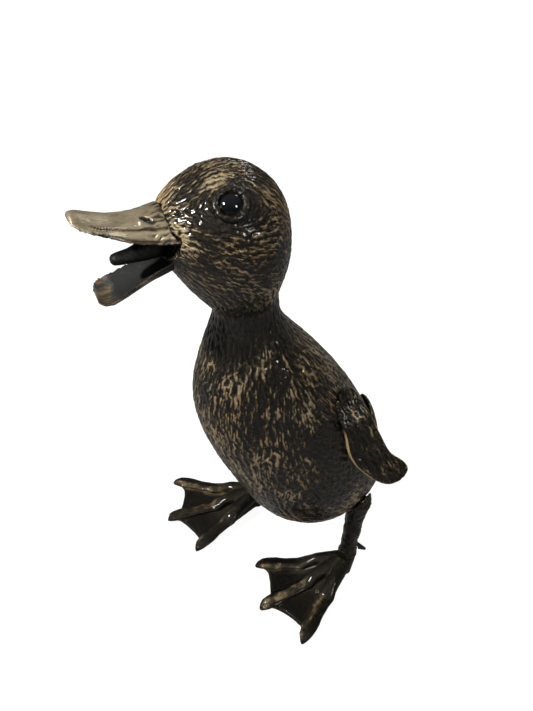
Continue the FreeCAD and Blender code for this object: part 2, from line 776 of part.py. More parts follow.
faulty = [made.Name for made in DOC.Objects if {"Invalid", "Error"} & set(made.State)]
for made in PIECES:
    shape = made.Shape
    if shape.isNull() or not shape.isValid() or len(shape.Solids) != 1:
        faulty.append(f"{made.Label} {len(shape.Solids)}")
if faulty:
    raise RuntimeError(f"faulty: {faulty}")

os.makedirs("parts", exist_ok=True)
for made in PIECES:
    made.Shape.exportStep(f"parts/{made.Label}.step")
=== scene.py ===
"""Looks of the cast duckling: a down skin of raised strokes, polished bill, glass eyes and webbed feet."""
import math

import bmesh
import bpy
import numpy as np
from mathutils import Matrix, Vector, noise
from mathutils.bvhtree import BVHTree
from mathutils.kdtree import KDTree


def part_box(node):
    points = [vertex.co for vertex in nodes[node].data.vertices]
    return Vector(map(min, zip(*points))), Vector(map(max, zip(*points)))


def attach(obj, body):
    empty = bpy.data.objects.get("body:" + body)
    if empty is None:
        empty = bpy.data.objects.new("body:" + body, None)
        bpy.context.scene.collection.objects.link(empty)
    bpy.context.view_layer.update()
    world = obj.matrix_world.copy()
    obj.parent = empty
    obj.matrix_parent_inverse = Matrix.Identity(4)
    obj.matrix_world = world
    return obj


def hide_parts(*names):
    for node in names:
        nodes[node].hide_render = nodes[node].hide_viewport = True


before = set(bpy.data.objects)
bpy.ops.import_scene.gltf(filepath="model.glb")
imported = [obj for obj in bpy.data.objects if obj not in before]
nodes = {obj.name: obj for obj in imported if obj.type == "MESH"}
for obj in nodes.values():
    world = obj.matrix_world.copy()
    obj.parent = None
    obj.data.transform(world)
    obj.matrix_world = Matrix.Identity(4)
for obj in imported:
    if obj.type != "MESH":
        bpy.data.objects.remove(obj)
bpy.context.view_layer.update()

MM = 0.001


# Camera at the photograph's viewing angle, in metres; the lens and the sensor are in mm

AZIMUTH, ELEVATION = math.radians(68), math.radians(38.2)
DISTANCE = 0.300
NEAREST = 0.01
LENS, SENSOR_WIDTH = 44.6, 36
to_camera = Vector((
    math.cos(ELEVATION) * math.sin(AZIMUTH),
    -math.cos(ELEVATION) * math.cos(AZIMUTH),
    math.sin(ELEVATION),
))
target = Vector((-17.7, 13.38, 76.7)) * MM
camera_data = bpy.data.cameras.new("camera")
camera_data.lens = LENS
camera_data.sensor_width = SENSOR_WIDTH
camera_data.clip_start = NEAREST
camera = bpy.data.objects.new("camera", camera_data)
camera.location = target + to_camera * DISTANCE
camera.rotation_euler = to_camera.to_track_quat("Z", "Y").to_euler()
bpy.context.scene.collection.objects.link(camera)
bpy.context.scene.camera = camera
bpy.context.scene.view_settings.view_transform = "Standard"


# Small helpers for shader nodes

def new_material(name, **constants):
    """A material with a principled shader whose constant values are set on its own sockets."""
    material = bpy.data.materials.new(name)
    material.use_nodes = True
    tree = material.node_tree
    tree.nodes.clear()
    output = tree.nodes.new("ShaderNodeOutputMaterial")
    shader = tree.nodes.new("ShaderNodeBsdfPrincipled")
    tree.links.new(shader.outputs[0], output.inputs["Surface"])
    for socket, value in constants.items():
        shader.inputs[socket.replace("_", " ")].default_value = value
    return material, tree, shader


def attribute(tree, name):
    """The value that the mesh carries under a name."""
    node = tree.nodes.new("ShaderNodeAttribute")
    node.attribute_name = name
    return node.outputs["Fac"]


def maths(tree, operation, first, second):
    """The result of one operation on two sockets or numbers."""
    node = tree.nodes.new("ShaderNodeMath")
    node.operation = operation
    for socket, value in zip(node.inputs, (first, second)):
        if isinstance(value, (int, float)):
            socket.default_value = value
        else:
            tree.links.new(value, socket)
    return node.outputs[0]


def grain(tree, size, detail, roughness=0.6, stretch=(1, 1, 1)):
    """Noise whose grains are about size mm across, in the object's own coordinates."""
    place = tree.nodes.new("ShaderNodeTexCoord")
    scaled = tree.nodes.new("ShaderNodeMapping")
    scaled.inputs["Scale"].default_value = stretch
    node = tree.nodes.new("ShaderNodeTexNoise")
    node.inputs["Scale"].default_value = 1 / (size * MM)
    node.inputs["Detail"].default_value = detail
    node.inputs["Roughness"].default_value = roughness
    tree.links.new(place.outputs["Object"], scaled.inputs["Vector"])
    tree.links.new(scaled.outputs[0], node.inputs["Vector"])
    return node.outputs["Fac"]


def ramp(tree, value, stops):
    """Colours (or greys) at stops along value."""
    node = tree.nodes.new("ShaderNodeValToRGB")
    elements = node.color_ramp.elements
    while len(elements) < len(stops):
        elements.new(0.5)
    for element, (place, colour) in zip(elements, stops):
        element.position = place
        if isinstance(colour, (int, float)):
            colour = (colour, colour, colour)
        element.color = (*colour, 1)
    tree.links.new(value, node.inputs["Fac"])
    return node.outputs["Color"]


def bump(tree, shader, height, strength, depth):
    """Fine relief of a shader, depth in mm."""
    node = tree.nodes.new("ShaderNodeBump")
    node.inputs["Strength"].default_value = strength
    node.inputs["Distance"].default_value = depth * MM
    tree.links.new(height, node.inputs["Height"])
    tree.links.new(node.outputs[0], shader.inputs["Normal"])


# Materials

def strands(tree, length, width):
    """Short bands along the surface's flow, length and width in mm.
    The mesh carries the way across the flow."""
    place = tree.nodes.new("ShaderNodeTexCoord")
    across = tree.nodes.new("ShaderNodeAttribute")
    across.attribute_name = "across"
    node = tree.nodes.new("ShaderNodeTexGabor")
    node.gabor_type = "3D"
    inputs = {socket.identifier: socket for socket in node.inputs}
    inputs["Scale"].default_value = 1 / (length * MM)
    inputs["Frequency"].default_value = length / width
    inputs["Anisotropy"].default_value = 0.92
    tree.links.new(place.outputs["Object"], inputs["Vector"])
    tree.links.new(across.outputs["Vector"], inputs["Orientation 3D"])
    return node.outputs["Value"]


def centred(tree, value, reach):
    """A value round 0.5, moved to lie round 0 and stretched."""
    return maths(tree, "MULTIPLY", maths(tree, "SUBTRACT", value, 0.5), reach)


def patina(name, stops, gloss, grain_size, band=None, depth=0.3, coat=0.25):
    """Dark patina in the hollows, rubbed brass on the ridges.
    The mesh carries ridge and worn values, and for a band of strands drawn and across too; on the down skin
    ridge, worn and drawn also hold painted shade and a painted highlight.
    Gloss is the roughness of the dark and of the bright places; grain_size and depth are in mm."""
    material, tree, shader = new_material(
        name, Metallic=0.5, Specular_IOR_Level=0.3, Specular_Tint=(1.0, 0.86, 0.66, 1),
        Coat_Weight=coat, Coat_Roughness=0.07,
    )
    fine = grain(tree, grain_size, 6, 0.72)
    broad = grain(tree, 10, 3)
    brown = grain(tree, 14, 3, 0.6, (1.3, 0.8, 1.0))
    ridge = attribute(tree, "ridge")
    worn = attribute(tree, "worn")
    rub = maths(tree, "MULTIPLY", ridge, maths(tree, "ADD", maths(tree, "MULTIPLY", worn, 0.7), 0.3))
    value = maths(tree, "ADD", rub, centred(tree, fine, 1.2))
    value = maths(tree, "ADD", value, centred(tree, broad, 1.0))
    height = maths(tree, "ADD", fine, maths(tree, "MULTIPLY", ridge, 0.6))
    if band:
        lines = centred(tree, strands(tree, *band), 0.75)
        lines = maths(tree, "MULTIPLY", lines, attribute(tree, "drawn"))
        value = maths(tree, "ADD", value, lines)
        height = maths(tree, "ADD", height, maths(tree, "MULTIPLY", lines, 1.5))
    tint = tree.nodes.new("ShaderNodeMix")
    tint.data_type = "RGBA"
    tint.blend_type = "MULTIPLY"
    sockets = {socket.identifier: socket for socket in tint.inputs}
    sockets["Factor_Float"].default_value = 1
    hues = [(0.40, (0.95, 0.97, 0.97)), (0.66, (1.0, 0.84, 0.64))]
    tree.links.new(ramp(tree, value, stops), sockets["A_Color"])
    tree.links.new(ramp(tree, brown, hues), sockets["B_Color"])
    results = {socket.identifier: socket for socket in tint.outputs}
    tree.links.new(results["Result_Color"], shader.inputs["Base Color"])
    tree.links.new(ramp(tree, value, [(0.1, gloss[0]), (0.9, gloss[1])]), shader.inputs["Roughness"])
    bump(tree, shader, height, 0.9, depth)
    return material


DOWN_TONES = [
    (0.20, (0.0010, 0.0009, 0.0006)),
    (0.38, (0.0060, 0.0046, 0.0026)),
    (0.47, (0.030, 0.0215, 0.0112)),
    (0.57, (0.140, 0.104, 0.057)),
    (0.90, (0.260, 0.206, 0.124)),
]
down_brass = patina("down_brass", DOWN_TONES, (0.32, 0.40), 0.8, (3.6, 0.9), depth=0.38, coat=0.4)
head_brass = patina("head_brass", DOWN_TONES, (0.30, 0.38), 0.7, (2.6, 0.72), depth=0.38, coat=0.4)
wing_brass = patina(
    "wing_brass",
    [
        (0.08, (0.0014, 0.0013, 0.0010)),
        (0.30, (0.0070, 0.0060, 0.0042)),
        (0.46, (0.034, 0.027, 0.0155)),
        (0.60, (0.140, 0.106, 0.058)),
        (0.98, (0.440, 0.330, 0.155)),
    ],
    (0.34, 0.34), 0.7, (4.6, 1.1),
)
leg_brass = patina(
    "leg_brass",
    [
        (0.10, (0.0014, 0.0012, 0.0009)),
        (0.42, (0.0070, 0.0055, 0.0036)),
        (0.66, (0.030, 0.022, 0.012)),
        (0.95, (0.120, 0.092, 0.052)),
    ],
    (0.34, 0.36), 0.8,
)
foot_brass = patina(
    "foot_brass",
    [
        (0.20, (0.0007, 0.0008, 0.0006)),
        (0.40, (0.0040, 0.0036, 0.0025)),
        (0.58, (0.026, 0.0205, 0.0120)),
        (0.92, (0.150, 0.118, 0.070)),
    ],
    (0.34, 0.52), 0.6, depth=0.45, coat=0.08,
)


def bill_material(name, metallic, gloss, coat):
    """Polished tan brass with fine scratches along it, brown stains and dark hollows.
    The mesh carries its tone as ridge, painted light and shade included."""
    material, tree, shader = new_material(
        name, Metallic=metallic, Specular_IOR_Level=0.3, Coat_Weight=coat, Coat_Roughness=0.16
    )
    tone = attribute(tree, "ridge")
    stains = grain(tree, 2.6, 5, 0.65, (1, 0.35, 1))
    fine = grain(tree, 0.5, 4, 0.65, (1, 0.3, 1))
    value = maths(tree, "ADD", tone, centred(tree, stains, 1.3))
    value = maths(tree, "ADD", value, centred(tree, fine, 0.5))
    stops = [
        (0.05, (0.003, 0.0028, 0.002)),
        (0.25, (0.010, 0.0100, 0.0066)),
        (0.45, (0.044, 0.029, 0.0145)),
        (0.66, (0.135, 0.107, 0.065)),
        (1.00, (0.235, 0.195, 0.125)),
    ]
    sheen = [(0.1, 0.8), (0.4, gloss), (1.0, gloss - 0.04)]
    tree.links.new(ramp(tree, value, stops), shader.inputs["Base Color"])
    tree.links.new(ramp(tree, value, sheen), shader.inputs["Roughness"])
    bump(tree, shader, maths(tree, "ADD", fine, stains), 0.6, 0.2)
    return material


def glass_material():
    """Black glass, a little clouded."""
    material, tree, shader = new_material("eye_glass", Metallic=0.0, IOR=1.5)
    haze = grain(tree, 2.5, 2)
    blacks = [(0.3, (0.0006, 0.0008, 0.0010)), (0.8, (0.0026, 0.0032, 0.0040))]
    tree.links.new(ramp(tree, haze, blacks), shader.inputs["Base Color"])
    tree.links.new(ramp(tree, haze, [(0.2, 0.05), (0.9, 0.12)]), shader.inputs["Roughness"])
    return material


def tongue_material():
    """Matt black cast metal with grey specks."""
    material, tree, shader = new_material("tongue_patina", Metallic=0.3, Specular_IOR_Level=0.25)
    rough = grain(tree, 1.1, 5, 0.7)
    specks = [(0.54, (0.0008, 0.0008, 0.0007)), (0.74, (0.018, 0.019, 0.017))]
    tree.links.new(ramp(tree, rough, specks), shader.inputs["Base Color"])
    tree.links.new(ramp(tree, rough, [(0.2, 0.35), (0.8, 0.6)]), shader.inputs["Roughness"])
    bump(tree, shader, rough, 0.8, 0.25)
    return material


upper_brass = bill_material("bill_brass", 0.45, 0.42, 0.2)
lower_brass = bill_material("lower_bill_brass", 0.1, 0.55, 0.05)
eye_glass = glass_material()
tongue_patina = tongue_material()


# Mesh work on arrays of points (metres) and faces

def points_of(mesh):
    flat = np.empty(len(mesh.vertices) * 3)
    mesh.vertices.foreach_get("co", flat)
    return flat.reshape(-1, 3)


def unit(rows):
    """Rows of length 1."""
    return rows / np.maximum(np.linalg.norm(rows, axis=1), 1e-9)[:, None]


def face_normals_at(points, faces):
    """Unit normal at each point, from the four-sided faces round it."""
    first, second, third, fourth = (points[faces[:, corner]] for corner in range(4))
    flat = np.cross(third - first, fourth - second)
    total = np.zeros_like(points)
    for corner in range(4):
        for axis in range(3):
            total[:, axis] += np.bincount(faces[:, corner], flat[:, axis], len(points))
    return total / np.maximum(np.linalg.norm(total, axis=1), 1e-12)[:, None]


def edges_of(faces):
    """Each edge of four-sided faces once, as the numbers of its two points."""
    pairs = [faces[:, [k, (k + 1) % 4]] for k in range(4)]
    return np.unique(np.sort(np.concatenate(pairs), 1), axis=0)


def neighbour_mean(values, edges):
    """Mean of a value, or of rows of values, over each point's neighbours."""
    rows = values.reshape(len(values), -1)
    degree = np.maximum(np.bincount(edges.ravel(), minlength=len(rows)), 1)
    total = np.stack([
        np.bincount(edges[:, 0], rows[edges[:, 1], k], len(rows))
        + np.bincount(edges[:, 1], rows[edges[:, 0], k], len(rows))
        for k in range(rows.shape[1])
    ], 1)
    return (total / degree[:, None]).reshape(values.shape)


def relaxed(values, edges, rounds, share=0.5):
    """Values drawn towards their neighbours' mean by a share of the way, round after round."""
    for _ in range(rounds):
        values = values + share * (neighbour_mean(values, edges) - values)
    return values


def convexity(points, normals, edges):
    """How far each point stands out from its neighbours, in mm, smoothed a little."""
    out = ((points - neighbour_mean(points, edges)) * normals).sum(1) / MM
    return relaxed(out, edges, 2)


def cloud(points, size, shift=0.0):
    """Smooth noise from -1 to 1 with lumps about size mm across."""
    scaled = points / (size * MM) + shift
    return np.array([noise.noise(p) for p in scaled])


def step(low, high, value):
    """A soft step from 0 at low to 1 at high."""
    share = np.clip((value - low) / (high - low), 0, 1)
    return share * share * (3 - 2 * share)


def bell(*terms, power=2):
    """1 in the middle and falling off round it; each term is a value, its middle and its reach."""
    return np.exp(-sum(((value - middle) / reach) ** power for value, middle, reach in terms))


def ellipsoid(middle, radii):
    """Points and triangles of an ellipsoid, from its middle and radii in mm."""
    ball = bmesh.new()
    bmesh.ops.create_icosphere(ball, subdivisions=3, radius=1)
    points = np.array([vertex.co for vertex in ball.verts])
    faces = np.array([[vertex.index for vertex in face.verts] for face in ball.faces])
    ball.free()
    return (points * radii + middle) * MM, faces


def remeshed(name, voxel, plug):
    """The shape of a CAD node and a plug, as points and four-sided faces about voxel mm across."""
    solid = nodes[name].data
    solid.calc_loop_triangles()
    corners = np.empty(len(solid.loop_triangles) * 3, dtype=np.int64)
    solid.loop_triangles.foreach_get("vertices", corners)
    points, faces = points_of(solid), corners.reshape(-1, 3)
    if plug:
        faces = np.concatenate([plug[1], faces + len(plug[0])])
        points = np.concatenate([plug[0], points])
    mesh = bpy.data.meshes.new("shape")
    mesh.from_pydata(points.tolist(), [], faces.tolist())
    shape = bpy.data.objects.new("shape", mesh)
    bpy.context.scene.collection.objects.link(shape)
    remesh = shape.modifiers.new("even", "REMESH")
    remesh.mode = "VOXEL"
    remesh.voxel_size = voxel * MM
    seen = shape.evaluated_get(bpy.context.evaluated_depsgraph_get())
    even = bpy.data.meshes.new_from_object(seen)
    found = points_of(even)
    corners = np.empty(len(even.loops), dtype=np.int64)
    even.loops.foreach_get("vertex_index", corners)
    bpy.data.objects.remove(shape)
    bpy.data.meshes.remove(mesh)
    bpy.data.meshes.remove(even)
    return found, corners.reshape(-1, 4)


# Rays start this far out and stop this near to the spine; rings are spaced by a first look along it
RAY_START = 0.12
INNER_RADIUS = 6 * MM
PROBES, PROBE_COLUMNS = 120, 24


def outer_skin(names, spine, around, along):
    """Skin over the outside of CAD nodes: evenly spaced rings round a bent spine, with a fan at each end.
    Rays come in towards the spine; one that meets nothing ends at the inner radius."""
    corners, triangles = [], []
    for name in names:
        mesh = nodes[name].data
        mesh.calc_loop_triangles()
        triangles += [tuple(v + len(corners) for v in t.vertices) for t in mesh.loop_triangles]
        corners += [v.co.copy() for v in mesh.vertices]
    tree = BVHTree.FromPolygons(corners, triangles)
    spine = np.array(spine) * MM
    spans = np.diff(spine, axis=0)
    ways = spans / np.linalg.norm(spans, axis=1)[:, None]
    last = len(spans)
    stops = np.arange(last) + 1.5
    turn = np.linspace(0, 2 * math.pi, around, endpoint=False)
    side = np.array((1.0, 0.0, 0.0))

    def ring(place):
        """place runs 0..1 over the low fan, then 1 for each span of the spine, then 1 over the high fan."""
        at = min(max(place - 1, 0), last - 1e-9)
        origin = spine[int(at)] + spans[int(at)] * (at - int(at))
        up = np.array([np.interp(place, stops, ways[:, axis]) for axis in range(3)])
        up /= np.linalg.norm(up)
        tilt = math.pi / 2 * (min(place, 1) - 1 + max(place - 1 - last, 0))
        flat = np.outer(np.cos(turn), side) + np.outer(np.sin(turn), np.cross(up, side))
        rows = []
        for way in math.cos(tilt) * flat + math.sin(tilt) * up:
            hit = tree.ray_cast(Vector(origin + way * RAY_START), Vector(-way), RAY_START)
            rows.append(np.array(hit[0]) if hit[0] is not None else origin + way * INNER_RADIUS)
        return np.array(rows)

    places = np.linspace(0.003, last + 1.997, PROBES)
    coarse = [ring(place)[:: around // PROBE_COLUMNS] for place in places]
    gaps = [0.0] + [float(np.median(np.linalg.norm(b - a, axis=1))) for a, b in zip(coarse, coarse[1:])]
    reach = np.cumsum(np.array(gaps) + 1e-7)
    even = np.interp(np.linspace(0, reach[-1], along), reach, places)
    return np.concatenate([ring(place) for place in even])


def ring_faces(around, rows):
    """Four-sided faces between rings that follow each other."""
    first = np.arange(rows - 1)[:, None] * around
    here = np.arange(around)[None, :]
    after = (here + 1) % around
    quads = np.stack([first + here, first + after, first + around + after, first + around + here], 2)
    return quads.reshape(-1, 4)


def closed_rings(points, around):
    """Rings closed by a middle point at each end: all points, and the faces of the two ends."""
    here = np.arange(around)
    after = (here + 1) % around
    count = len(points)
    base = count - around
    low = np.stack([after, here, np.full(around, count)], 1)
    high = np.stack([base + here, base + after, np.full(around, count + 1)], 1)
    ends = np.stack([points[:around].mean(0), points[-around:].mean(0)])
    return np.concatenate([points, ends]), np.concatenate([low, high])


# The wave's turn, and how many half widths of a stroke keep the next one off
FULL_TURN = 6.28
APART = 2.0


def strokes(points, normals, flow, length, width, generator):
    """Raised, slightly wavy strokes laid along flow, with grooves between them, all over the surface.
    Length and width are in mm, one for all points or one for each.
    Returns each point's ridge height from 0 to 1 and how bright its stroke is worn."""
    length, width = (np.broadcast_to(size, len(points)) for size in (length, width))
    tree = KDTree(len(points))
    for index, point in enumerate(points):
        tree.insert(point, index)
    tree.balance()
    height = np.zeros(len(points))
    bright = np.zeros(len(points))
    taken = np.zeros(len(points), dtype=bool)
    for seed in generator.permutation(len(points)):
        if taken[seed]:
            continue
        half = 0.5 * length[seed] * generator.uniform(0.65, 1.35) * MM
        wide = 0.5 * width[seed] * generator.uniform(0.75, 1.25) * MM
        swing = generator.normal(0, 0.16)
        bend = generator.normal(0, 0.2) / half
        wave = generator.uniform(0.1, 0.5) * wide
        pitch = generator.uniform(2.2, 3.6) * MM
        phase = generator.uniform(0, FULL_TURN)
        worn = generator.uniform(0, 1)
        tall = generator.uniform(0.7, 1.0)
        ahead = flow[seed]
        across = np.cross(normals[seed], ahead)
        ahead, across = (
            ahead * math.cos(swing) + across * math.sin(swing),
            across * math.cos(swing) - ahead * math.sin(swing),
        )
        found = np.array([hit[1] for hit in tree.find_range(points[seed], half + APART * wide)])
        offset = points[found] - points[seed]
        x = offset @ ahead
        y = offset @ across - bend * x * x - wave * np.sin(FULL_TURN * x / pitch + phase)
        taken[found[(np.abs(y) < APART * wide) & (np.abs(x) < half)]] = True
        body = np.clip(1 - (x / half) ** 2, 0, 1) ** 0.5 * np.clip(1 - (y / wide) ** 2, 0, 1) ** 0.7 * tall
        wins = body > height[found]
        chosen = found[wins]
        height[chosen] = body[wins]
        bright[chosen] = worn
    return height, bright


def add_piece(name, points, faces, material, stands_for, values, extra=None, facing=None):
    """A smooth mesh object that rides on the body and stands for a CAD node.
    Values are what the mesh carries for its material; extra holds faces with three corners."""
    mesh = bpy.data.meshes.new(name)
    every = faces.tolist() + (extra.tolist() if extra is not None else [])
    mesh.from_pydata(points.tolist(), [], every)
    mesh.polygons.foreach_set("use_smooth", np.ones(len(mesh.polygons), dtype=bool))
    for key, value in values.items():
        kind, field = ("FLOAT", "value") if value.ndim == 1 else ("FLOAT_VECTOR", "vector")
        layer = mesh.attributes.new(key, kind, "POINT")
        layer.data.foreach_set(field, value.astype(np.float32).ravel())
    if facing is not None:
        mesh.normals_split_custom_set_from_vertices(facing.tolist())
    mesh.materials.append(material)
    piece = bpy.data.objects.new(name, mesh)
    bpy.context.scene.collection.objects.link(piece)
    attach(piece, "root")
    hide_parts(stands_for)


def along_surface(direction, normals):
    """Directions turned into the surface."""
    return unit(direction - (direction * normals).sum(1)[:, None] * normals)


# The down skin over body and head, with strokes in one flow, made as two pieces that meet in the neck.
# Places, sizes and depths are in mm.

AROUND, ALONG = 470, 420
SPINE = ((0, 23, 52), (0, 2.4, 108), (0, -4.6, 138.5))
NECK_HEIGHT = 112
NECK_REACH, NECK_ROUNDS = 5.5, 60
# The middle of the painted highlight over the eye
BROW_HIGHLIGHT_PLACE = (6.0, -10.4, 157.0)
STROKE_LENGTH, STROKE_WIDTH = 5.0, 1.5
STROKE_DEPTH, LESS_ON_HEAD = 0.42, 0.08
LUMP_SIZE, LUMP_DEPTH = 9, 0.16
DENT_SIZE, DENT_DEPTH = 3.2, 0.12
FAR = 99.0


def down_flow(points, smooth, x, y, z):
    """Where the strokes run: down the breast, down and back on the flanks, back over the crown and
    round the eyes. Returns that way and each point's distance from the middle of the nearer eye."""
    rear = step(0, 32, y)
    low = 1 - step(24, 46, z)
    sideways = 0.12 * np.sin(z / 9) * np.sign(x + 1e-6)
    body = np.stack([sideways, 0.12 + 0.95 * rear + 1.6 * low, -1.0 + 0.1 * rear], 1)
    throat = 1 - step(118, 134, z)
    down = -0.25 - 0.9 * throat - 0.5 * step(0, 10, y)
    head = np.stack([0.1 * np.sin(y / 5), 1.0 - 0.75 * throat, down], 1)
    share = step(108, 122, z)[:, None]
    flow = body * (1 - share) + head * share
    rim = np.full(len(points), FAR)
    for name in ("left_eye_lid", "right_eye_lid"):
        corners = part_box(name)
        away = points - np.array((corners[0] + corners[1]) / 2)
        far = np.linalg.norm(away, axis=1)
        whirl = np.cross(smooth, away) / np.maximum(far, 1e-9)[:, None]
        whirl *= np.where((whirl * flow).sum(1) < 0, -1, 1)[:, None]
        near = bell((far / MM, 0, 8.5))[:, None]
        flow = flow * (1 - near) + whirl * 1.6 * near
        rim = np.minimum(rim, far / MM)
    size = 12 - 5 * share[:, 0]
    sway = np.stack([cloud(points / size[:, None], 1, shift) for shift in (0, 40, 80)], 1)
    return along_surface(flow + 0.18 * sway, smooth), rim


def down_skin():
    """Both down pieces: one skin, melted together at the neck and cut by the grooves between strokes."""
    generator = np.random.default_rng(11)
    points = outer_skin(["body_shell", "head_shell"], SPINE, AROUND, ALONG)
    faces = ring_faces(AROUND, ALONG)
    edges = edges_of(faces)
    seam = bell((points[:, 2] / MM, NECK_HEIGHT, NECK_REACH), power=4)[:, None]
    points = relaxed(points, edges, NECK_ROUNDS, 0.5 * seam)
    smooth = unit(relaxed(face_normals_at(points, faces), edges, 6))
    x, y, z = (points / MM).T
    flow, rim = down_flow(points, smooth, x, y, z)

    # Strokes are longer, wider and softer low on the belly, and shorter, narrower and lower on the head
    head = step(NECK_HEIGHT, 124, z)
    length = (STROKE_LENGTH + 1.6 * (1 - step(45, 75, z))) * (1 - 0.30 * head)
    width = STROKE_WIDTH + 0.4 * (1 - step(40, 70, z)) - 0.35 * head
    height, bright = strokes(points, smooth, flow, length, width, generator)
    soft = 1 - 0.5 * (1 - step(26, 42, z))
    tall = (STROKE_DEPTH - LESS_ON_HEAD * head) * soft
    lumps = 0.5 + 0.5 * cloud(points, LUMP_SIZE, 7)
    dents = 0.5 + 0.5 * cloud(points, DENT_SIZE, 17)
    depth = tall * (1 - height) + LUMP_DEPTH * lumps + DENT_DEPTH * dents
    points = points - smooth * (depth * MM)[:, None]

    # Painted shade in the neck, under the wings and in the mouth; darker round the eyes and on the chest
    shaded_neck = 1 - 0.7 * bell((z, 113.5, 8))
    # Painted shade under the wings
    under_wing_shade = 1 - 0.95 * bell((np.abs(x), 24, 8), (y, 19, 7), (z, 66, 15))
    socket = step(4.4, 9.5, rim)
    # Painted shade in the mouth
    inside = bell((x, 0, 11), (z, 138, 7), power=4) * (1 - step(-25, -18, y))
    chest = bell((x, 6, 10), (z, 104, 7)) * (1 - step(-4, 6, y))
    ridge = height * shaded_neck * under_wing_shade * (0.35 + 0.65 * socket) * (1 - inside) * (0.8 + 0.2 * soft)
    ridge *= 1 - 0.6 * chest

    # Rubbed in patches and where the bill runs into the face; a painted highlight over the eye, carried in
    # worn and ridge
    patches = 0.5 + 0.5 * cloud(points, 11, 23)
    bill_run = bell((y, -22, 4), (z, 147, 7))
    brow_highlight = bell((np.linalg.norm(points / MM - BROW_HIGHLIGHT_PLACE, axis=1), 0, 3.2))
    worn = np.clip(bright * 0.6 + 1.1 * (patches - 0.35) + 0.2 * lumps, 0, 1)
    worn = np.clip(worn + 0.7 * bill_run + brow_highlight, 0, 1)
    ridge = np.clip(ridge + 0.25 * bill_run * height + 0.5 * brow_highlight, 0, 1)

    # Strands fainter round the eyes, in the painted shade under the wings, low on the belly, on the chest
    # and in the painted highlight over the eye
    drawn = (0.25 + 0.75 * socket) * (0.45 + 0.55 * under_wing_shade) * soft * (1 - 0.3 * chest) * (1 - 0.7 * brow_highlight)
    across = np.cross(smooth, flow)
    facing = face_normals_at(points, faces)
    split = int(np.argmin(np.abs(z.reshape(ALONG, AROUND).mean(1) - NECK_HEIGHT)))
    for name, stands_for, first, last, brass in (
        ("down_body", "body_shell", 0, split + 1, down_brass),
        ("down_head", "head_shell", split, ALONG, head_brass),
    ):
        part = slice(first * AROUND, last * AROUND)
        closed, ends = closed_rings(points[part], AROUND)
        values = {
            "ridge": np.append(ridge[part], (0, 0)),
            "worn": np.append(worn[part], (0, 0)),
            "across": np.concatenate([across[part], [(1, 0, 0), (1, 0, 0)]]),
            "drawn": np.append(drawn[part], (0.5, 0.5)),
        }
        normals = np.concatenate([facing[part], smooth[[first * AROUND, last * AROUND - 1]]])
        add_piece(name, closed, ring_faces(AROUND, last - first), brass, stands_for,
                  values, ends, normals)


# Pieces cut from the CAD shapes on an even mesh; places, sizes and depths are in mm

# The size of a mesh's faces and its rounds of relaxing
WING_MESH, TAIL_MESH, LEG_MESH, FOOT_MESH = (0.34, 3), (0.34, 3), (0.36, 3), (0.4, 3)
HIND_TOE_MESH, BILL_MESH, LID_MESH = (0.25, 2), (0.26, 4), (0.16, 2)

# The length and width of strokes, how deep they are cut, and how far the wing's top sinks
WING_STROKE, TAIL_STROKE, RAGGED_STROKE = (5.5, 1.3), (3.4, 0.95), (6, 1.2)
WING_DEPTH, TAIL_DEPTH = 0.5, 0.28
WING_SINK = 2.4
LEG_DEPTH, LEG_KNOBS = 0.35, 0.5


def even_piece(name, voxel, rounds, plug=None):
    """A CAD node's shape on a mesh of faces voxel mm across, relaxed for some rounds.
    Returns its points, faces, edges and normals."""
    points, faces = remeshed(name, voxel, plug)
    edges = edges_of(faces)
    points = relaxed(points, edges, rounds)
    normals = face_normals_at(points, faces)
    return points, faces, edges, normals


def wing(name, seed):
    """A wing: strokes along it, a rubbed rim in front and below, and a top that sinks into the shoulder."""
    generator = np.random.default_rng(seed)
    points, faces, edges, normals = even_piece(name, *WING_MESH)
    middle = points.mean(0)
    axes = np.linalg.svd(points - middle, full_matrices=False)[2]
    along = axes[0] * np.sign(axes[0][2])
    out = axes[2] * np.sign(axes[2][0] * middle[0])
    smooth = unit(relaxed(normals, edges, 4))
    up = (points - middle) @ along / MM
    edge = step(0.22, 0.55, 1 - np.abs(smooth @ out)) * (1 - step(4, 13, up))
    sway = np.stack([cloud(points, 6, k * 9) for k in range(3)], 1)
    flow = along_surface(np.tile(-along, (len(points), 1)) + 0.2 * sway, smooth)
    height, bright = strokes(points, smooth, flow, *WING_STROKE, generator)
    lumps = 0.5 + 0.5 * cloud(points, 6, 5)
    points = points - smooth * ((WING_DEPTH * (1 - height) + 0.1 * lumps) * (1 - edge) * MM)[:, None]
    points = points - out * (step(6, 15, up) * WING_SINK * MM)[:, None]
    ridge = np.clip(np.maximum(height * (0.6 + 0.3 * lumps), edge * 1.1), 0, 1.2)
    worn = np.clip(np.maximum(bright * (0.4 + 0.8 * lumps), edge), 0, 1)
    values = {"ridge": ridge, "worn": worn, "across": np.cross(smooth, flow), "drawn": 1 - 0.7 * edge}
    add_piece("down_" + name, points, faces, wing_brass, name, values)


def tail():
    """The tail: short strokes up it and a rubbed edge."""
    generator = np.random.default_rng(31)
    points, faces, edges, normals = even_piece("tail", *TAIL_MESH)
    edge = step(0.010, 0.045, convexity(points, normals, edges))
    smooth = relaxed(normals, edges, 4)
    flow = along_surface(np.tile((0.0, 0.25, 1.0), (len(points), 1)), smooth)
    height, bright = strokes(points, smooth, flow, *TAIL_STROKE, generator)
    points = points - smooth * (TAIL_DEPTH * (1 - height) * (1 - edge) * MM)[:, None]
    ridge = np.clip(np.maximum(height * 0.6, edge), 0, 1)
    worn = np.maximum(bright, edge)
    values = {"ridge": ridge, "worn": worn, "across": np.cross(smooth, flow), "drawn": 1 - edge}
    add_piece("down_tail", points, faces, wing_brass, "tail", values)


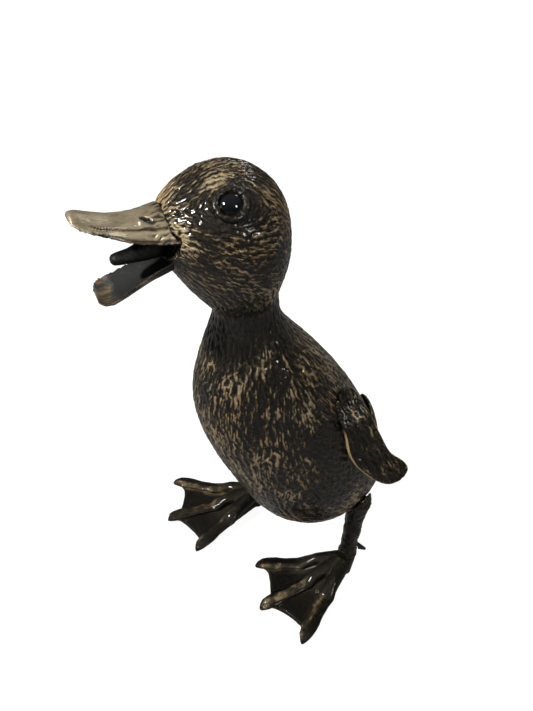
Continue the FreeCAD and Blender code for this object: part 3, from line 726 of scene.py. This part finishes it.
def leg(name, seed):
    """A gnarled shank, rubbed on what stands out."""
    points, faces, edges, normals = even_piece(name, *LEG_MESH)
    smooth = relaxed(normals, edges, 3)
    out = step(0.006, 0.04, convexity(points, normals, edges))
    rough = cloud(points, 3.0, seed) * 0.6 + cloud(points, 1.2, seed + 9) * 0.4
    points = points - smooth * ((LEG_DEPTH - LEG_KNOBS * rough).clip(0) * MM)[:, None]
    ridge = np.clip(0.35 + 0.45 * rough + 0.35 * out, 0, 1)
    values = {"ridge": ridge, "worn": np.clip(0.5 + 0.6 * cloud(points, 5, seed + 3), 0, 1)}
    add_piece("cast_" + name, points, faces, leg_brass, name, values)


# The toes' bearings from straight ahead, in degrees outward, and their length; the heights of the web
# and of the ankle; how far the web is drawn out between the toes, as a share of its reach; how much of
# their height over the web the toes lose; the depth of the roughness and the height of the beads
TOE_BEARINGS = (39.5, 7.5, -24.5)
TOE_LENGTH = 35.8
WEB_TOP, ANKLE_HEIGHT = 2.2, 8.2
WEB_GAINS = (0.045, 0.07)
TOE_LOSS = 0.55
FOOT_DEPTH, BEAD_HEIGHT = 0.12, 0.30


def foot(name, seed):
    """A webbed foot: low beaded toes on a dark web that reaches well out between them."""
    points, faces, edges, normals = even_piece(name, *FOOT_MESH)
    side = 1 if name.startswith("left") else -1
    z = points[:, 2] / MM
    ankle = points[z > ANKLE_HEIGHT].mean(0)
    away = (points - ankle)[:, :2] / MM
    reach = np.hypot(away[:, 0], away[:, 1])
    bearing = np.degrees(np.arctan2(side * away[:, 0], -away[:, 1]))
    push = np.zeros(len(points))
    from_toe = np.full(len(points), FAR)
    for start, end, gain in zip(TOE_BEARINGS, TOE_BEARINGS[1:], WEB_GAINS):
        share = np.clip((start - bearing) / (start - end), 0, 1)
        push += gain * np.sin(math.pi * share) * step(14, 26, reach)
    for middle in TOE_BEARINGS:
        from_toe = np.minimum(from_toe, np.abs(reach * np.sin(np.radians(bearing - middle))))
    points[:, :2] += (away * push[:, None]) * MM
    outer = step(8, 15, reach)
    points[:, 2] = np.where(z > WEB_TOP, WEB_TOP + (z - WEB_TOP) * (1 - TOE_LOSS * outer), z) * MM
    beads = np.clip(cloud(points, 2.4, seed) * 1.6, 0, 1)
    toe = (1 - step(1.0, 2.3, from_toe)) * step(WEB_TOP - 0.4, WEB_TOP + 0.5, z)
    tip = step(TOE_LENGTH - 7, TOE_LENGTH - 3, reach)
    rough = cloud(points, 1.6, seed)
    smooth = relaxed(normals, edges, 3)
    relief = FOOT_DEPTH * (0.5 + 0.5 * rough) - BEAD_HEIGHT * beads * toe * outer
    points = points - smooth * (relief * MM * step(0.3, 0.9, z))[:, None]
    rim = step(0.008, 0.05, convexity(points, face_normals_at(points, faces), edges))
    on_toe = 0.62 * toe + 0.35 * beads * toe + 0.2 * rough * toe
    ridge = np.clip(0.10 + on_toe + 0.35 * rim * outer + 0.5 * tip * (0.6 + rough), 0, 1)
    ridge *= 0.45 + 0.55 * outer
    values = {"ridge": ridge, "worn": np.clip(0.6 + 0.6 * cloud(points, 4, seed + 3), 0, 1)}
    add_piece("webbed_" + name, points, faces, foot_brass, name, values)


def hind_toe(name, seed):
    """A small spur behind the shank."""
    points, faces, _, _ = even_piece(name, *HIND_TOE_MESH)
    ridge = np.clip(0.35 + 0.4 * cloud(points, 1.5, seed), 0, 1)
    values = {"ridge": ridge, "worn": np.full(len(points), 0.5)}
    add_piece("cast_" + name, points, faces, leg_brass, name, values)


# The bills' tone runs from 0, black, over 0.45, brown, to 1, light tan.
# The CAD bores are filled, and the nostril is a slit on each side.
NOSTRIL_LENGTH, NOSTRIL_WIDTH, NOSTRIL_DEPTH = 3.0, 1.1, 1.2
NOSTRIL_PLACE = (3.4, -28.9, 149.3)
NOSTRIL_WAY = (0.67, 0.72, -0.2)
BORE_MIDDLE = (0.0, -31.25, 148.3)
BORE_FILL = (3.9, 1.3, 1.55)
GROOVE_DEPTH = 0.24
SET_BACK = 1.2
SLICE = 0.8 * MM


def height_share(points):
    """Each point's place between the lowest and the highest point of the bill's section there."""
    y, z = points[:, 1], points[:, 2]
    slot_of = ((y - y.min()) / SLICE).astype(int)
    low = np.full(slot_of.max() + 1, 9.0)
    high = np.full(slot_of.max() + 1, -9.0)
    np.minimum.at(low, slot_of, z)
    np.maximum.at(high, slot_of, z)
    return (z - low[slot_of]) / np.maximum(high - low, 1e-6)[slot_of]


def upper_bill():
    """The upper bill: two grooves along each side, ragged where it runs into the face, slit nostrils."""
    plug = ellipsoid(BORE_MIDDLE, BORE_FILL)
    points, faces, edges, normals = even_piece("upper_bill", *BILL_MESH, plug)
    y = points[:, 1] / MM
    share = height_share(points)
    wave = cloud(points, 5, 3)
    # Lighter where it faces up: painted light on the top
    top = step(0.1, 0.6, normals[:, 2])
    outside = step(0.15, 0.5, np.abs(normals[:, 0]) + np.clip(normals[:, 2], 0, 1))
    rows = step(-45, -41, y) * (1 - step(-24, -20, y)) * outside
    groove = bell((share, 0.60 + 0.06 * wave + 0.004 * (y + 33), 0.045)) * rows
    lower = bell((share, 0.24 + 0.05 * wave, 0.05)) * rows * 0.6
    cuts = np.clip(groove + lower, 0, 1)
    base = step(-29, -21, y)
    lip = 1 - step(0.16, 0.34, share + 0.06 * wave)
    # Darker where it faces down: painted shade under the bill
    below = step(0.3, 0.7, -normals[:, 2])
    tone = 0.52 + 0.24 * top + 0.10 * outside - 0.62 * cuts
    tone = tone - 0.10 * base - 0.26 * lip * outside - 0.35 * below
    slit = np.zeros(len(points))
    for side in (1, -1):
        mirror = np.array((side, 1, 1))
        off = points / MM - mirror * NOSTRIL_PLACE
        way = mirror * NOSTRIL_WAY
        along = off @ way
        rest = np.linalg.norm(off - np.outer(along, way), axis=1)
        spread = (2 * along / NOSTRIL_LENGTH) ** 4 + (2 * rest / NOSTRIL_WIDTH) ** 2
        slit = np.maximum(slit, np.exp(-spread))
    smooth = unit(relaxed(normals, edges, 6))
    flow = along_surface(np.tile((0.0, 1.0, -0.1), (len(points), 1)), smooth)
    height, _ = strokes(points, smooth, flow, *RAGGED_STROKE, np.random.default_rng(71))
    ragged = step(-30.5, -22.5, y + 1.6 * cloud(points, 2.5, 13) + 3.0 * (1 - share)) * outside
    tone = tone * (1 - ragged) + (tone + 0.25) * height * ragged
    cuts = np.maximum(cuts, 1.2 * ragged * (1 - height))
    points = points - smooth * ((GROOVE_DEPTH * cuts + NOSTRIL_DEPTH * slit) * MM)[:, None]
    values = {"ridge": np.clip(tone - 1.2 * slit, 0, 1)}
    add_piece("polished_upper_bill", points, faces, upper_brass, "upper_bill", values)


def lower_bill():
    """The lower bill: rubbed rim, duller inside, painted shade at the root inside the mouth and on its
    rear, which is set back into the head.
    """
    points, faces, edges, normals = even_piece("lower_bill", *BILL_MESH)
    y = points[:, 1] / MM
    bulge = relaxed(convexity(points, normals, edges), edges, 2)
    inner = step(0.15, 0.55, normals[:, 2])
    rim = step(0.004, 0.03, bulge)
    # Painted shade deep in the mouth, at the root of the inside
    root = step(-41, -36.5, y + 1.2 * cloud(points, 3, 19))
    spots = cloud(points, 3, 9)
    inside = 0.33 + 0.08 * spots - 0.36 * root
    outside = 0.50 + 0.08 * spots
    # Painted shade on the rear, where it is set back into the head
    back = step(-29, -25, y)
    points[:, 1] += SET_BACK * back * MM
    tone = inside * inner + outside * (1 - inner) + 0.30 * rim * (1 - 0.8 * root * inner) - 0.6 * back
    values = {"ridge": np.clip(tone, 0, 1)}
    add_piece("polished_lower_bill", points, faces, lower_brass, "lower_bill", values)


LID_SWELL, LID_BEADS = 0.55, 0.18


def eye_lid(name):
    """The lid drawn as a thick beaded ring that leaves a smaller round of glass open."""
    points, faces, _, normals = even_piece(name, *LID_MESH)
    beads = cloud(points, 0.9, 4)
    points = points + normals * ((LID_SWELL + LID_BEADS * beads) * MM)[:, None]
    values = {"ridge": np.clip(0.22 + 0.5 * beads, 0, 1), "worn": np.full(len(points), 0.6)}
    add_piece("beaded_" + name, points, faces, leg_brass, name, values)


down_skin()
for index, side in enumerate(("left", "right")):
    wing(side + "_wing", 21 + index)
    leg(side + "_leg", 41 + index)
    foot(side + "_foot", 51 + index)
    hind_toe(side + "_hind_toe", 61 + index)
    eye_lid(side + "_eye_lid")
tail()
upper_bill()
lower_bill()

for name, material in (("left_eye", eye_glass), ("right_eye", eye_glass), ("tongue", tongue_patina)):
    mesh = nodes[name].data
    mesh.materials.clear()
    mesh.materials.append(material)
    mesh.polygons.foreach_set("use_smooth", np.ones(len(mesh.polygons), dtype=bool))


# Floor, world and lamps, in metres

FLOOR_REACH = 3.0
FLOOR_GREY, FLOOR_GLOW = 0.13, 0.93
FLOOR_IN_REFLECTIONS = 0.15


def floor_piece():
    """A white floor to the camera that throws little light back up at the figure."""
    mesh = bpy.data.meshes.new("floor")
    corners = [(x * FLOOR_REACH, y * FLOOR_REACH, 0) for x, y in ((-1, -1), (1, -1), (1, 1), (-1, 1))]
    mesh.from_pydata(corners, [], [(0, 1, 2, 3)])
    floor = bpy.data.objects.new("floor", mesh)
    bpy.context.scene.collection.objects.link(floor)
    material = bpy.data.materials.new("floor_white")
    material.use_nodes = True
    tree = material.node_tree
    tree.nodes.clear()
    output = tree.nodes.new("ShaderNodeOutputMaterial")
    diffuse = tree.nodes.new("ShaderNodeBsdfDiffuse")
    diffuse.inputs["Color"].default_value = (FLOOR_GREY, FLOOR_GREY, FLOOR_GREY, 1)
    glow = tree.nodes.new("ShaderNodeEmission")
    rays = tree.nodes.new("ShaderNodeLightPath")
    both = tree.nodes.new("ShaderNodeAddShader")
    mirrored = maths(tree, "MULTIPLY", rays.outputs["Is Glossy Ray"], FLOOR_IN_REFLECTIONS)
    seen = maths(tree, "MAXIMUM", rays.outputs["Is Camera Ray"], mirrored)
    tree.links.new(maths(tree, "MULTIPLY", seen, FLOOR_GLOW), glow.inputs["Strength"])
    tree.links.new(diffuse.outputs[0], both.inputs[0])
    tree.links.new(glow.outputs[0], both.inputs[1])
    tree.links.new(both.outputs[0], output.inputs["Surface"])
    mesh.materials.append(material)


def world_light():
    """White to the camera; for everything else a studio that is bright overhead and dim at its sides."""
    world = bpy.data.worlds.new("studio")
    bpy.context.scene.world = world
    world.use_nodes = True
    tree = world.node_tree
    tree.nodes.clear()
    output = tree.nodes.new("ShaderNodeOutputWorld")
    sky = tree.nodes.new("ShaderNodeBackground")
    rays = tree.nodes.new("ShaderNodeLightPath")
    place = tree.nodes.new("ShaderNodeTexCoord")
    parts = tree.nodes.new("ShaderNodeSeparateXYZ")
    tree.links.new(place.outputs["Generated"], parts.inputs[0])
    dome = ramp(tree, parts.outputs["Z"], [(0.0, 0.07), (0.45, 0.10), (0.85, 0.24), (1.0, 0.28)])
    seen = maths(tree, "MAXIMUM", rays.outputs["Is Camera Ray"], dome)
    sky.inputs["Color"].default_value = (1, 1, 1, 1)
    tree.links.new(seen, sky.inputs["Strength"])
    tree.links.new(sky.outputs[0], output.inputs["Surface"])


def lamp(name, place, size, power):
    """A round lamp at a place from the camera's target, shining at it."""
    light = bpy.data.lights.new(name, "AREA")
    light.shape = "DISK"
    light.size = size
    light.energy = power
    item = bpy.data.objects.new(name, light)
    item.location = target + Vector(place)
    item.rotation_euler = Vector(place).to_track_quat("Z", "Y").to_euler()
    bpy.context.scene.collection.objects.link(item)


floor_piece()
world_light()
lamp("key", (0.02, -0.60, 0.52), 0.08, 13.0)
lamp("fill", (0.66, 0.24, 0.46), 0.16, 4.0)
lamp("rim", (-0.35, 0.45, 0.55), 0.20, 2.0)
